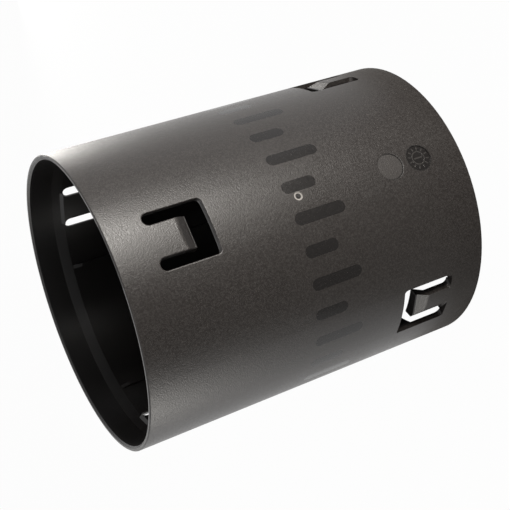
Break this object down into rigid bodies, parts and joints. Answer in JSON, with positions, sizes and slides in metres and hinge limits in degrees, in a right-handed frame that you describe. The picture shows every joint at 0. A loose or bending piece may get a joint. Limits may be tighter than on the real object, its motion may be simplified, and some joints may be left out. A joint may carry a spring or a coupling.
{
  "type": "land drain pipe connector",
  "caption": "Black plastic push-fit connector sleeve for corrugated land drain pipe, with moulded spring tongues near each mouth that lock the two pipe ends.",
  "frame": {"origin": "centre of the lower rim", "axes": "+Z along the sleeve's axis, -Y towards the gate line and the clip on it"},
  "size_m": [0.1054, 0.1054, 0.13],
  "materials": {
    "moulded_plastic": "satin"
  },
  "bodies": {
    "root": {"connector_sleeve": "moulded_plastic"}
  },
  "joints": []
}
